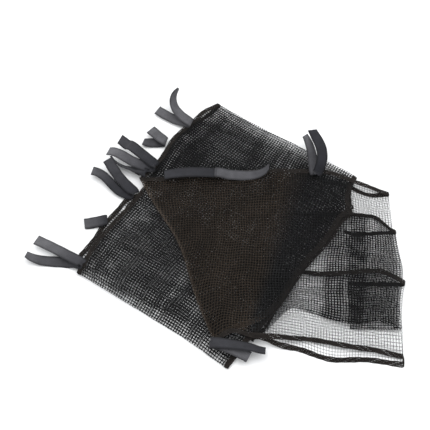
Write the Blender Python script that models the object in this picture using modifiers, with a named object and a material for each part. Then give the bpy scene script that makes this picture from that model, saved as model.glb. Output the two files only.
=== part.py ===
"""Trampoline safety net, folded for storage.

One strip of open black mesh, 0.40 m wide and 2.46 m long, with a thick
knitted hem along both long edges and tie straps sewn to the hems.  The strip
lies folded back and forth on a flat surface: a slanted packet of layers at
the back, an oblique turn at its left, a top layer running to the right, a
fold at the right edge, and the other end tucked back under the layers,
doubled lengthwise.

Metres, +Z up, X to the right, Y away from the front.  The origin is at the
middle of the underside of the whole thing's box.
"""

import bpy
import numpy as np
from math import cos, pi, radians, sin

# ---------------------------------------------------------------- sizes
WIDTH = 0.400  # strip, hem to hem
LENGTH = 2.460  # strip, end A to end B
SHEET = 0.0016  # mesh sheet
HEM_WIDTH = 0.008
HEM_FACTOR = 1.0  # the hem's thickness over the sheet's
GAP = 0.0045  # middle of one layer to middle of the next
TAPE_WIDTH = 0.025
TAPE = 0.0014
SEWN_GAP = 0.0003

# The panels between folds, from end A (hidden, at the bottom of the packet)
# to end B.  Slant: how far the fold at the panel's far end leads at the
# upper hem, per metre of width.
PANELS = [
    # name, length at mid-width, slant of its far fold
    ("P4", 0.255, -0.020),  # bottom of the packet
    ("P3", 0.553, 0.050),
    ("P2", 0.406, -0.518),  # ends at the oblique fold
    ("P1", 0.494, -0.045),  # top layer
    ("P5", 0.314, -0.070),  # under it, to the left
    ("T1", 0.322, -0.050),  # tucked tail, doubled lengthwise
    ("T2", None, 0.0),  # the rest, to end B
]
# where the top layer lies: middle of its oblique fold, and its direction
TOP_PANEL, TOP_X, TOP_Y, TOP_ANGLE = "P1", -0.0901, -0.1129, -0.0733

# Hems that wander sideways between two folds.
WANDER = [
    # panel, hem (0 lower, 1 upper), centre 0-1, spread 0-1, shift across
    ("P4", 1, 0.12, 0.24, 0.019),
    ("P4", 1, 0.49, 0.14, 0.016),
    ("P4", 1, 0.87, 0.18, 0.024),
    ("P4", 0, 0.26, 0.34, -0.029),
    ("P3", 1, 0.06, 0.24, 0.015),
    ("P3", 1, 0.73, 0.14, 0.030),
    ("P3", 0, 0.32, 0.15, -0.021),
    ("P3", 0, 0.73, 0.16, -0.032),
    ("P2", 1, 0.10, 0.23, 0.015),
    ("P2", 1, 0.51, 0.13, 0.015),
    ("P2", 0, 0.32, 0.19, -0.041),
    ("P2", 0, 0.74, 0.16, -0.052),
    ("P1", 1, 0.28, 0.14, 0.021),
    ("P1", 1, 0.60, 0.15, 0.036),
    ("P1", 1, 0.77, 0.08, 0.029),
    ("P1", 1, 0.98, 0.07, 0.040),
    ("P1", 0, 0.02, 0.07, 0.052),
    ("P1", 0, 0.33, 0.21, 0.010),
    ("P1", 0, 0.52, 0.13, 0.012),
    ("P1", 0, 0.88, 0.17, 0.005),
    ("P5", 1, 0.32, 0.09, 0.024),
    ("P5", 1, 0.63, 0.17, 0.067),
    ("P5", 0, 0.51, 0.15, -0.020),
    ("P5", 0, 0.81, 0.10, -0.014),
    ("T1", 1, 0.33, 0.24, 0.006),
    ("T1", 1, 0.79, 0.35, 0.035),
    ("T1", 0, 0.85, 0.18, 0.022),
    ("T2", 1, 0.75, 0.28, -0.006),
]
# Places where the cloth is pushed along the surface.
SHOVES = [
    # panels, x, y, reach, dx, dy
    ("P1 P2", -0.085, -0.085, 0.075, 0.018, 0.004),
    ("P3 P2", 0.245, 0.175, 0.085, 0.004, 0.014),
    ("P5 T1", 0.115, -0.345, 0.085, 0.000, 0.046),
    ("P5", 0.400, -0.375, 0.060, 0.000, -0.018),
    ("T1 T2", 0.430, -0.150, 0.045, 0.014, 0.000),
    ("P1 P5", 0.405, 0.050, 0.030, 0.000, 0.008),
    ("P3 P2", 0.320, 0.086, 0.040, 0.006, 0.012),
    ("P4 P3", 0.018, -0.375, 0.050, -0.003, -0.008),
    ("T1", 0.295, -0.265, 0.045, 0.000, -0.018),
    ("P1 P5", 0.397, -0.368, 0.030, 0.002, -0.006),
]
# The tail's lengthwise crease.
CREASE = 0.115  # from the lower hem
CREASE_TO = 0.105  # where it lies across the panel once turned
ROLLED = 0.012  # the hem rolls over first, and the crease then moves up
ROLL_RUN, TURN_RUN = 0.020, 0.085
ROLL_RISE = 0.5
MAIN_DRAWN = 0.86  # crumpling across the wide ply
FLAP_DRAWN = 1.00  # and across the narrow ply
TUCK = 0.006  # the wide ply turns back this far inside the narrow one

# Layers from the surface up, and how much of the relief each takes.
STACK = [
    # level, share of the relief
    ("T2f", 0.00),
    ("T2m", 0.00),
    ("T1m", 0.05),
    ("T1f", 0.10),
    ("P5", 0.20),
    ("P4", 0.35),
    ("P3", 0.55),
    ("P2", 0.80),
    ("P1", 1.00),
]
# Soft relief of the loose layers.
HUMPS = [
    # x, y, long reach, cross reach, direction, height
    (-0.20, -0.10, 0.11, 0.07, 1.0, 0.014),
    (0.10, 0.12, 0.12, 0.06, -0.5, 0.014),
    (-0.02, -0.12, 0.05, 0.10, 0.0, 0.008),
    (0.10, -0.08, 0.06, 0.13, 0.1, 0.007),
    (0.21, -0.02, 0.05, 0.10, 0.2, 0.006),
    (0.12, -0.28, 0.06, 0.05, 0.0, 0.006),
]
EASE_FROM, EASE_TO = 0.006, 0.074  # a layer comes down over a lower one's edge
LEAST_TURN = 0.0012  # radius

STATION_STEP = 0.028  # between sections along the strip
LOW_THREADS, HIGH_THREADS = 5, 8  # across it, below and above the crease

NAMES = [name for name, _, _ in PANELS]
LEVELS = [name for name, _ in STACK]
LIFT = dict(STACK)
SLANT = {name: slant for name, _, slant in PANELS}
START, END = {}, {}
at = 0.0
for name, length, _ in PANELS:
    START[name] = at
    at = LENGTH if length is None else at + length
    END[name] = at


def neighbour(panel, step):
    i = NAMES.index(panel) + step
    return NAMES[i] if 0 <= i < len(NAMES) else None


def near_slant(panel):
    before = neighbour(panel, -1)
    return SLANT[before] if before else 0.0


def smooth(x, low=0.0, high=1.0):
    x = np.clip((x - low) / (high - low), 0, 1)
    return x * x * (3 - 2 * x)


def starts(panel, t):
    """Place along the strip where a panel starts, on each thread."""
    return START[panel] + near_slant(panel) * (folded_across(panel, -1, t) - WIDTH / 2)


def ends(panel, t):
    return END[panel] + SLANT[panel] * (folded_across(panel, 1, t) - WIDTH / 2)


def folded_across(panel, side, t):
    """The tail turns back on both plies at once, so its fold is straight there."""
    if {panel, neighbour(panel, side)} == {"T1", "T2"}:
        return section("T2", None, t)[0]
    return t


# ---------------------------------------------------------------- the folds
def fold_points(flat, s, slant):
    """Both ends of a fold on the surface."""
    low = flat @ np.array([s - slant * WIDTH / 2, 0, 1])
    high = flat @ np.array([s + slant * WIDTH / 2, WIDTH, 1])
    return low, high


def folded(flat, low, high):
    """The placing of the next panel: this one's, mirrored in the fold."""
    along = (high - low) / np.linalg.norm(high - low)
    mirror = 2 * np.outer(along, along) - np.eye(2)
    out = mirror @ flat
    out[:, 2] += (np.eye(2) - mirror) @ low
    return out


def lay_panels():
    turn = np.array(
        [[cos(TOP_ANGLE), -sin(TOP_ANGLE)], [sin(TOP_ANGLE), cos(TOP_ANGLE)]]
    )
    start = np.array([TOP_X, TOP_Y]) - turn @ np.array([START[TOP_PANEL], WIDTH / 2])
    flats = {TOP_PANEL: np.c_[turn, start]}
    top = NAMES.index(TOP_PANEL)
    for i in range(top, len(NAMES) - 1):
        here = NAMES[i]
        fold = fold_points(flats[here], END[here], SLANT[here])
        flats[NAMES[i + 1]] = folded(flats[here], *fold)
    for i in range(top, 0, -1):
        here, before = NAMES[i], NAMES[i - 1]
        fold = fold_points(flats[here], END[before], SLANT[before])
        flats[before] = folded(flats[here], *fold)
    return flats


FLATS = lay_panels()


def crease_at(panel, s):
    """The tail's crease: how far turned, and its place from the lower hem."""
    if panel != "T1":
        return 1.0, CREASE
    past = s - START["T1"] + near_slant("T1") * WIDTH / 2
    grown = smooth(past, ROLL_RUN, TURN_RUN)
    return smooth(past, 0.004, ROLL_RUN), ROLLED + (CREASE - ROLLED) * grown


def section(panel, s, t):
    """The panel's cross-section: place across it, and height over its level.

    Only the tail has one: its lower part turns up about the crease."""
    t = np.asarray(t, float)
    if panel not in ("T1", "T2"):
        return t, np.zeros_like(t)
    turned, crease = crease_at(panel, s)
    share = (crease - ROLLED) / (CREASE - ROLLED)
    drawn = 1 - (1 - MAIN_DRAWN) * share
    lies = crease + (CREASE_TO - CREASE) * share
    half = pi * GAP / 4
    angle = np.maximum(pi * turned, 1e-4)
    radius = pi * GAP / 2 / angle
    down = crease - t
    swept = angle * np.clip((down + half) / (2 * half), 0, 1)
    rest = np.maximum(down - half, 0)
    tight = np.where(angle > pi / 2, FLAP_DRAWN, 1.0)
    flap = lies + half * drawn - radius * np.sin(swept) - rest * np.cos(angle) * tight
    rise = radius * (1 - np.cos(swept)) + rest * np.sin(angle) * ROLL_RISE
    wide = down < -half
    return np.where(wide, lies - down * drawn, flap), np.where(wide, 0.0, rise)


def plan(panel, s, t):
    """Where a point of the strip lies on the surface, seen from above."""
    s, t = np.broadcast_arrays(np.asarray(s, float), np.asarray(t, float))
    flat = FLATS[panel]
    across, _ = section(panel, s, t)
    xy = np.stack(
        [
            flat[0, 0] * s + flat[0, 1] * across + flat[0, 2],
            flat[1, 0] * s + flat[1, 1] * across + flat[1, 2],
        ],
        -1,
    )
    first, last = starts(panel, t), ends(panel, t)
    u = (s - first) / (last - first)
    v = np.clip(t / WIDTH, 0, 1)
    inside = smooth(4 * np.clip(u, 0, 1) * np.clip(1 - u, 0, 1), 0, 0.6)
    for owner, hem, centre, spread, shift in WANDER:
        if owner == panel:
            along = np.exp(-(((u - centre) / spread) ** 2) / 2) * inside
            reach = v**1.5 if hem else (1 - v) ** 1.5
            xy = xy + (along * reach * shift)[..., None] * flat[:, 1]
    out = xy.copy()
    for panels, x, y, reach, dx, dy in SHOVES:
        if panel in panels.split():
            far = (xy[..., 0] - x) ** 2 + (xy[..., 1] - y) ** 2
            push = np.exp(-far / (2 * reach * reach))
            out[..., 0] += push * dx
            out[..., 1] += push * dy
    return out


# ---------------------------------------------------------------- heights
def outline(level):
    """A level's outline, seen from above."""
    panel = level[:2]
    half = pi * GAP / 4

    def at_u(u, share):
        first, last = starts(panel, CREASE), ends(panel, CREASE)
        crease = crease_at(panel, first + u * (last - first))[1]
        low = crease + half if level.endswith("m") else 0.0
        high = crease - half if level.endswith("f") else WIDTH
        t = low + share * (high - low)
        first, last = starts(panel, t), ends(panel, t)
        return plan(panel, first + u * (last - first), t)

    steps, rungs = np.linspace(0, 1, 13)[:-1], np.linspace(0, 1, 5)[:-1]
    ring = [at_u(u, 0.0) for u in steps]
    ring += [at_u(1.0, k) for k in rungs]
    ring += [at_u(1 - u, 1.0) for u in steps]
    ring += [at_u(0.0, 1 - k) for k in rungs]
    return np.array(ring)


def outside(points, ring):
    """Distance from an outline, negative within it."""
    shape = points.shape[:-1]
    points = points.reshape(-1, 2)
    nearest = np.full(len(points), 1e9)
    within = np.zeros(len(points), bool)
    for a, b in zip(ring, np.roll(ring, -1, axis=0)):
        edge, way = b - a, points - a
        k = np.clip(way @ edge / max(edge @ edge, 1e-12), 0, 1)
        gap = way - k[:, None] * edge
        nearest = np.minimum(nearest, (gap * gap).sum(1))
        if a[1] != b[1]:
            crossed = (a[1] > points[:, 1]) != (b[1] > points[:, 1])
            x = edge[0] * (points[:, 1] - a[1]) / edge[1] + a[0]
            within ^= crossed & (points[:, 0] < x)
    far = np.sqrt(nearest)
    return np.where(within, -far, far).reshape(shape)


RINGS = {name: outline(name) for name in LEVELS}


def relief(xy):
    z = np.zeros(xy.shape[:-1])
    for x, y, long, cross, way, high in HUMPS:
        dx, dy = xy[..., 0] - x, xy[..., 1] - y
        u = dx * cos(way) + dy * sin(way)
        v = dy * cos(way) - dx * sin(way)
        z += high * np.exp(-(u * u / (long * long) + v * v / (cross * cross)) / 2)
    return z


def level_height(level, xy):
    """A layer lies a gap over each lower one that is there."""
    z = np.full(xy.shape[:-1], SHEET * HEM_FACTOR / 2)
    for lower in LEVELS[: LEVELS.index(level)]:
        z += GAP * (1 - smooth(outside(xy, RINGS[lower]), EASE_FROM, EASE_TO))
    return z + LIFT[level] * relief(xy)


def height(panel, s, t, xy):
    _, rise = section(panel, s, t)
    level = {"T1": "T1m", "T2": "T2m"}.get(panel, panel)
    return level_height(level, xy) + {"T1": 1.0, "T2": -1.0}.get(panel, 0.0) * rise


def turn_radius(zp, zq):
    return np.maximum(np.abs(zp - zq) / 2, LEAST_TURN)


def surface(panel, s, t):
    """The middle of the sheet, with each fold a half round turn."""
    s, t = np.broadcast_arrays(np.asarray(s, float), np.asarray(t, float))
    xy = plan(panel, s, t)
    z = height(panel, s, t, xy)
    folds = []
    if neighbour(panel, -1):
        folds.append((neighbour(panel, -1), starts(panel, t), near_slant(panel), -1))
    if neighbour(panel, 1):
        folds.append((neighbour(panel, 1), ends(panel, t), SLANT[panel], 1))
    for other, at_s, slant, side in folds:
        leg = (1 + slant * slant) ** 0.5
        far = (at_s - s) / leg * side
        m = far < 0.25
        if not m.any():
            continue
        d = far[m]
        fs, ft = s[m] + side * d / leg, t[m] - side * d * slant / leg
        if {panel, other} == {"T1", "T2"}:
            fs, ft = at_s[m], t[m]
        here, there = plan(panel, fs, ft), plan(other, fs, ft)
        zh, zt = height(panel, fs, ft, here), height(other, fs, ft, there)
        r, middle = turn_radius(zh, zt), (zh + zt) / 2
        way = FLATS[panel][:, :2] @ np.array([1.0, -slant])
        way = side * way / np.linalg.norm(way)
        swing = np.clip(d / r, 0, pi / 2)
        share = 0.5 * (1 - np.sin(swing))
        arc = here * (1 - share)[:, None] + there * share[:, None]
        arc = arc + (r * (np.cos(swing) - 1))[:, None] * way
        ease = (pi / 2 - 1) * r * np.exp(-np.maximum(d - pi * r / 2, 0) / 0.05)
        on = d < pi * r / 2
        xy[m] = np.where(on[:, None], arc, xy[m] + ease[:, None] * way)
        if {panel, other} == {"T1", "T2"}:
            wide = smooth(t[m], CREASE - GAP, CREASE + GAP)
            xy[m] -= (TUCK * wide * np.exp(-((d / 0.06) ** 2)))[:, None] * way
        up = np.where(zh >= zt, 1.0, -1.0)
        z[m] = np.where(on, middle + up * r * np.sin(swing), z[m])
    return np.concatenate([xy, z[..., None]], -1)


# ---------------------------------------------------------------- sections
def threads(crease):
    """Places across the strip: both hems, and a close set round the crease."""
    half = pi * GAP / 4
    close = [crease + k * half for k in (-1, -0.5, 0, 0.5, 1)]
    top = WIDTH - HEM_WIDTH
    low = np.linspace(min(HEM_WIDTH, 0.6 * close[0]), close[0], LOW_THREADS)
    high = np.linspace(close[-1], top, HIGH_THREADS)
    return np.array([0.0, *low[:-1], *close, *high[1:], WIDTH])


def stations():
    """Sections along the strip, in order: a panel, and a place on each thread."""
    out = []
    for panel in NAMES:
        mean = float(np.mean(ends(panel, threads(CREASE)) - starts(panel, threads(CREASE))))
        count = max(3, round(mean / STATION_STEP))
        spans = list(np.arange(1, count) / count)
        if panel == "T1":
            near = [0.05, 0.12, 0.19, 0.34, 0.46, 0.56, 0.66, 0.78, 0.9, 1.0]
            spans = [k * TURN_RUN / mean for k in near]
            spans += [k / count for k in range(1, count) if k / count > 1.15 * spans[-1]]
        rows = [(0.0, 1.0), *[(k, None) for k in spans], (1.0, 1.0)]
        if neighbour(panel, -1):
            rows[0:1] = [(0.0, 0.5), (0.0, 1.0)]
        else:
            rows[0] = (0.0, 0.0)
        rows[-1:] = [(1.0, 1.0), (1.0, 0.5), (1.0, 0.0)] if neighbour(panel, 1) else [(1.0, 0.0)]
        for k, part in rows:
            ts = threads(crease_of(panel, k))
            for _ in range(3):
                s = place(panel, k, part, ts)
                if panel == "T1":
                    ts = threads(float(crease_at(panel, s[LOW_THREADS + 2])[1]))
            out.append((panel, place(panel, k, part, ts), ts))
    return out


def crease_of(panel, k):
    """Where the close threads run: down to the rolled hem by the tail's start."""
    if panel == "P5":
        return CREASE + (ROLLED - CREASE) * k
    return ROLLED if panel == "T1" else CREASE


def place(panel, k, part, ts):
    """Share k of the way along a panel between its turns, or on a turn."""
    first, last = starts(panel, ts), ends(panel, ts)
    arcs = []
    for step, s in ((-1, first), (1, last)):
        other = neighbour(panel, step)
        if other is None:
            arcs.append(np.zeros_like(ts))
            continue
        slant = near_slant(panel) if step < 0 else SLANT[panel]
        here, there = plan(panel, s, ts), plan(other, s, ts)
        r = turn_radius(height(panel, s, ts, here), height(other, s, ts, there))
        arcs.append(r * pi / 2 * (1 + slant * slant) ** 0.5)
    if part is not None:
        return first + arcs[0] * part if k == 0 else last - arcs[1] * part
    return first + arcs[0] + (last - arcs[1] - first - arcs[0]) * k


# ---------------------------------------------------------------- tie straps
# Each strap is one length of flat tape, sewn to a hem at its middle.  Row by
# row: where a tail leaves the seam, its length, and its bearing from +X, its
# climb and its roll at the start, the middle and the end, in degrees.
TAILS = [
    # strap, x, y, z, length, bearings, climbs, rolls
    (1, -0.299, -0.130, 0.0118, 0.120, (150, 152, 155), (5, 1, 4), (0, 2, 4)),
    (1, -0.300, -0.133, 0.0048, 0.129, (160, 176, 154), (0, 0, 28), (0, -8, 38)),
    (2, -0.251, -0.021, 0.0042, 0.050, (185, 187, 190), (0, 1, 2), (-6, -8, -12)),
    (2, -0.251, -0.021, 0.0018, 0.047, (186, 187, 188), (0, 0, 0), (0, 0, 0)),
    (3, -0.200, 0.051, 0.0050, 0.114, (176, 131, 176), (2, 6, 8), (4, 14, 4)),
    (3, -0.191, 0.057, 0.0120, 0.101, (137, 129, 122), (2, 0, 2), (-6, -14, -14)),
    (4, -0.146, 0.130, 0.0180, 0.106, (144, 142, 140), (0, 8, 2), (-8, -20, -38)),
    (4, -0.149, 0.121, 0.0110, 0.118, (178, 153, 166), (-2, 18, -24), (4, -8, 8)),
    (5, -0.172, 0.108, 0.0080, 0.092, (152, 156, 124), (6, 1, 32), (20, 44, 68)),
    (5, -0.169, 0.113, 0.0044, 0.030, (149, 146, 150), (0, 0, 0), (0, 0, 0)),
    (6, -0.124, 0.200, 0.0060, 0.051, (176, 180, 164), (-4, 0, 4), (0, -8, 18)),
    (6, -0.123, 0.202, 0.0130, 0.048, (152, 138, 126), (18, 4, -24), (0, -8, -10)),
    (7, -0.062, 0.255, 0.0172, 0.110, (148, 113, 39), (12, 6, 30), (4, 24, 110)),
    (7, -0.063, 0.254, 0.0100, 0.092, (166, 150, 146), (-4, -2, 6), (-4, -6, -6)),
    (8, -0.002, 0.098, 0.0290, 0.118, (177, 181, 185), (4, -2, -14), (0, -8, 4)),
    (8, 0.002, 0.098, 0.0290, 0.135, (-5, -4, 31), (0, 3, 58), (4, 8, -38)),
    (9, 0.235, 0.098, 0.0290, 0.104, (101, 95, 130), (4, 2, 34), (4, 18, 30)),
    (9, 0.243, 0.100, 0.0360, 0.121, (60, 98, 112), (38, -8, 6), (30, -6, 18)),
    (10, -0.006, -0.323, 0.0190, 0.084, (-17, -22, -30), (2, 0, -6), (0, -4, 20)),
    (10, -0.004, -0.325, 0.0250, 0.112, (0, -11, -8), (0, -4, 0), (0, -22, -34)),
]
TAIL_ROWS = 10
REST = 0.0004  # a tape lies this far over what is under it


def eased(three, u):
    """A curve through values at the start, the middle and the end."""
    a, m, b = np.radians(three)
    return a * (1 - u) * (1 - 2 * u) + m * 4 * u * (1 - u) + b * u * (2 * u - 1)


def cover(xy, tapes):
    """Top of the cloth and of the tapes at a place, or the surface they lie on."""
    z = np.zeros(xy.shape[:-1])
    for level in LEVELS:
        top = level_height(level, xy) + SHEET / 2
        z = np.where(outside(xy, RINGS[level]) < 0.006, np.maximum(z, top), z)
    for points in tapes:
        far = np.linalg.norm(xy[:, None] - points[:, :2], axis=-1)
        top = np.where(far < 0.0055, points[:, 2] + TAPE / 2 + REST, 0).max(axis=1)
        z = np.maximum(z, top)
    return z


def tape_points(middle, across):
    """A close set of points on a tape."""
    closer = np.linspace(0, len(middle) - 1, 4 * len(middle))
    rows = [np.interp(closer, range(len(middle)), middle[:, k]) for k in range(3)]
    ways = [np.interp(closer, range(len(middle)), across[:, k]) for k in range(3)]
    rows, ways = np.array(rows).T, np.array(ways).T
    spread = np.linspace(-0.5, 0.5, 7)[:, None, None] * TAPE_WIDTH
    return (rows + spread * ways).reshape(-1, 3)


def tail(x, y, z, length, bearings, climbs, rolls, tapes):
    """Middle line of one tail, the direction across its tape, and its heading."""
    u = np.linspace(0, 1, TAIL_ROWS)
    b, c, r = (eased(three, u) for three in (bearings, climbs, rolls))
    way = np.stack([np.cos(b) * np.cos(c), np.sin(b) * np.cos(c), np.sin(c)], -1)
    level = np.stack([-np.sin(b), np.cos(b), 0 * b], -1)
    across = level * np.cos(r)[:, None] + np.cross(way, level) * np.sin(r)[:, None]
    middle = np.zeros((TAIL_ROWS, 3))
    middle[0] = x, y, z
    steps = (way[1:] + way[:-1]) / 2 * (length / (TAIL_ROWS - 1))
    middle[1:] = middle[0] + np.cumsum(steps, axis=0)
    lift = np.zeros(TAIL_ROWS)
    for side in (-0.5, -0.25, 0.0, 0.25, 0.5):
        at = middle + side * TAPE_WIDTH * across
        under = cover(at[:, :2], tapes) + TAPE / 2 + REST
        lift = np.maximum(lift, under - at[:, 2])
    near = np.pad(lift, 1, mode="edge")
    middle[:, 2] += np.maximum(lift, np.maximum(near[:-2], near[2:]) * 0.8)
    return middle, across, way


def lay_tails():
    """The tails from the lowest up, each over those laid before it."""
    laid, tapes = {}, []
    for i in sorted(range(len(TAILS)), key=lambda i: TAILS[i][3]):
        laid[i] = tail(*TAILS[i][1:], tapes)
        tapes.append(tape_points(*laid[i][:2]))
    return [(TAILS[i][0], *laid[i]) for i in range(len(TAILS))]


LAID = lay_tails()


def strap(number):
    """Both edges of a strap: in along one tail, over the seam, out on the other."""
    (a, wa, da), (b, wb, db) = (row[1:] for row in LAID if row[0] == number)
    if (wa[0] * wb[0]).sum() < 0:
        wb = -wb
    reach = min(0.7 * np.linalg.norm(b[0] - a[0]), 0.006) + 0.0015
    u = np.linspace(0, 1, 5)[1:-1, None]
    hook = (1 - u) ** 3 * a[0] + 3 * u * (1 - u) ** 2 * (a[0] - da[0] * reach)
    hook += 3 * u * u * (1 - u) * (b[0] - db[0] * reach) + u**3 * b[0]
    over = wa[0] * (1 - u) + wb[0] * u
    over /= np.linalg.norm(over, axis=1)[:, None]
    middle = np.concatenate([a[::-1], hook, b])
    across = np.concatenate([wa[::-1], over, wb]) * TAPE_WIDTH / 2
    return np.stack([middle - across, middle + across], 1)


# ---------------------------------------------------------------- pieces
def clear_scene():
    for thing in list(bpy.data.objects):
        bpy.data.objects.remove(thing, do_unlink=True)


def material(name, colour, roughness):
    made = bpy.data.materials.new(name)
    made.use_nodes = True
    shader = made.node_tree.nodes["Principled BSDF"]
    shader.inputs["Base Color"].default_value = (*colour, 1)
    shader.inputs["Roughness"].default_value = roughness
    shader.inputs["Metallic"].default_value = 0.0
    return made


def sheet_object(name, points, thickness, coat, group=None, thin=1.0):
    """A grid primitive laid on the given rows of points, then made solid."""
    rows, columns = points.shape[:2]
    bpy.ops.mesh.primitive_grid_add(
        x_subdivisions=columns - 1, y_subdivisions=rows - 1, size=1
    )
    thing = bpy.context.active_object
    thing.name = thing.data.name = name
    for vertex in thing.data.vertices:
        x, y, _ = vertex.co
        column = round((x + 0.5) * (columns - 1))
        row = round((y + 0.5) * (rows - 1))
        vertex.co = points[row, column]
    if group is not None:
        hem = thing.vertex_groups.new(name="hem")
        hem.add([i for i, on in enumerate(group) if on], 1.0, "REPLACE")
    solid = thing.modifiers.new("Solidify", "SOLIDIFY")
    solid.thickness = thickness
    solid.offset = 0
    solid.use_rim = True
    if group is not None:
        solid.vertex_group = "hem"
        solid.thickness_vertex_group = thin
    thing.data.materials.append(coat)
    return thing


def net_object(coat):
    points = np.array([surface(panel, s, ts) for panel, s, ts in stations()])
    rows, columns = points.shape[:2]
    hem = [(i % columns) in (0, columns - 1) for i in range(rows * columns)]
    return sheet_object(
        "net", points, SHEET * HEM_FACTOR, coat, group=hem, thin=1 / HEM_FACTOR
    )


def strap_object(number, coat):
    return sheet_object(f"strap_{number}", strap(number), TAPE, coat)


def stand_on_origin(pieces):
    """Put the middle of the underside of the whole box at the origin."""
    graph = bpy.context.evaluated_depsgraph_get()
    corners = []
    for piece in pieces:
        mesh = piece.evaluated_get(graph).to_mesh()
        corners += [vertex.co.copy() for vertex in mesh.vertices]
    corners = np.array(corners)
    low, high = corners.min(axis=0), corners.max(axis=0)
    for piece in pieces:
        piece.location = (-(low[0] + high[0]) / 2, -(low[1] + high[1]) / 2, -low[2])


clear_scene()
home = bpy.data.collections.new("trampoline_safety_net")
bpy.context.scene.collection.children.link(home)
pieces = [net_object(material("net_mesh", (0.020, 0.018, 0.016), 0.75))]
for number in sorted({row[0] for row in TAILS}):
    coat = material(f"strap_webbing_{number}", (0.045, 0.045, 0.052), 0.85)
    pieces.append(strap_object(number, coat))
stand_on_origin(pieces)
for piece in pieces:
    for group in list(piece.users_collection):
        group.objects.unlink(piece)
    home.objects.link(piece)
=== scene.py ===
"""Looks of the folded trampoline safety net.

The net is real yarn: lengthwise and crosswise yarns that pass over and under
each other, laid on the same folded strip as the CAD solid, with knitted hems
of lengthwise cords.  The tie straps are woven tape with a darker and a paler
half, a flat selvedge, cross ribs and sewn seams; the near black of strap 9's
second tail is painted shade.

Metres, +Z up.  The strip and the tapes are worked out about the photograph's
centre, and then moved by SHIFT to stand on the CAD's origin.
"""

import bpy
import numpy as np
from math import cos, pi, radians, sin
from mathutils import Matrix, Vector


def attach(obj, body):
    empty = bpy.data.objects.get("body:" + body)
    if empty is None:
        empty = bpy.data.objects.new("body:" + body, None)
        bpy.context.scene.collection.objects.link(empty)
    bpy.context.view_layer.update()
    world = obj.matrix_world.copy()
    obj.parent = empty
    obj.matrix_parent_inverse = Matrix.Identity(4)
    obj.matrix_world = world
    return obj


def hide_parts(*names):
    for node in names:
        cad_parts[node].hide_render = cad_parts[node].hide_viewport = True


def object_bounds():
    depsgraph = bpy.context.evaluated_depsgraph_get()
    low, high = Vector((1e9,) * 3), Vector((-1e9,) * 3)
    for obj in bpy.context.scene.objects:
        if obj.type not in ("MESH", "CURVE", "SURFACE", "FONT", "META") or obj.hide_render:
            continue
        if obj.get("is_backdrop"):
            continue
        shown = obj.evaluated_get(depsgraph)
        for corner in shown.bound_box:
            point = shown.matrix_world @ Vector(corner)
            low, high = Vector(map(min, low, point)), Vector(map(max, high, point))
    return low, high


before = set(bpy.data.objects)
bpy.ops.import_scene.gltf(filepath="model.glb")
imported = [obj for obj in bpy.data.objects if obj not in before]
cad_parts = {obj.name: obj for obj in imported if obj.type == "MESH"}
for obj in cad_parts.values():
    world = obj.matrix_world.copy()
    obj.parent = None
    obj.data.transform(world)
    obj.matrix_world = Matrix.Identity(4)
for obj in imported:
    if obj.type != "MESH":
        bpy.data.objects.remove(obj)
cad_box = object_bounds()

SHIFT = np.array([0.00212, 0.01305, 0.0])  # to the CAD's origin

# ---------------------------------------------------------------- sizes
WIDTH = 0.400  # strip, hem to hem
LENGTH = 2.460  # strip, end A to end B
SHEET = 0.0016  # mesh sheet
HEM_WIDTH = 0.008
HEM_FACTOR = 1.0  # the hem's thickness over the sheet's
GAP = 0.0045  # middle of one layer to middle of the next
TAPE_WIDTH = 0.025
TAPE = 0.0014
SEWN_GAP = 0.0003

# The panels between folds, from end A (hidden, at the bottom of the packet)
# to end B.  Slant: how far the fold at the panel's far end leads at the
# upper hem, per metre of width.
PANELS = [
    # name, length at mid-width, slant of its far fold
    ("P4", 0.255, -0.020),  # bottom of the packet
    ("P3", 0.553, 0.050),
    ("P2", 0.406, -0.518),  # ends at the oblique fold
    ("P1", 0.494, -0.045),  # top layer
    ("P5", 0.314, -0.070),  # under it, to the left
    ("T1", 0.322, -0.050),  # tucked tail, doubled lengthwise
    ("T2", None, 0.0),  # the rest, to end B
]
# where the top layer lies: middle of its oblique fold, and its direction
TOP_PANEL, TOP_X, TOP_Y, TOP_ANGLE = "P1", -0.0901, -0.1129, -0.0733

# Hems that wander sideways between two folds.
WANDER = [
    # panel, hem (0 lower, 1 upper), centre 0-1, spread 0-1, shift across
    ("P4", 1, 0.12, 0.24, 0.019),
    ("P4", 1, 0.49, 0.14, 0.016),
    ("P4", 1, 0.87, 0.18, 0.024),
    ("P4", 0, 0.26, 0.34, -0.029),
    ("P3", 1, 0.06, 0.24, 0.015),
    ("P3", 1, 0.73, 0.14, 0.030),
    ("P3", 0, 0.32, 0.15, -0.021),
    ("P3", 0, 0.73, 0.16, -0.032),
    ("P2", 1, 0.10, 0.23, 0.015),
    ("P2", 1, 0.51, 0.13, 0.015),
    ("P2", 0, 0.32, 0.19, -0.041),
    ("P2", 0, 0.74, 0.16, -0.052),
    ("P1", 1, 0.28, 0.14, 0.021),
    ("P1", 1, 0.60, 0.15, 0.036),
    ("P1", 1, 0.77, 0.08, 0.029),
    ("P1", 1, 0.98, 0.07, 0.040),
    ("P1", 0, 0.02, 0.07, 0.052),
    ("P1", 0, 0.33, 0.21, 0.010),
    ("P1", 0, 0.52, 0.13, 0.012),
    ("P1", 0, 0.88, 0.17, 0.005),
    ("P5", 1, 0.32, 0.09, 0.024),
    ("P5", 1, 0.63, 0.17, 0.067),
    ("P5", 0, 0.51, 0.15, -0.020),
    ("P5", 0, 0.81, 0.10, -0.014),
    ("T1", 1, 0.33, 0.24, 0.006),
    ("T1", 1, 0.79, 0.35, 0.035),
    ("T1", 0, 0.85, 0.18, 0.022),
    ("T2", 1, 0.75, 0.28, -0.006),
]
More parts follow.
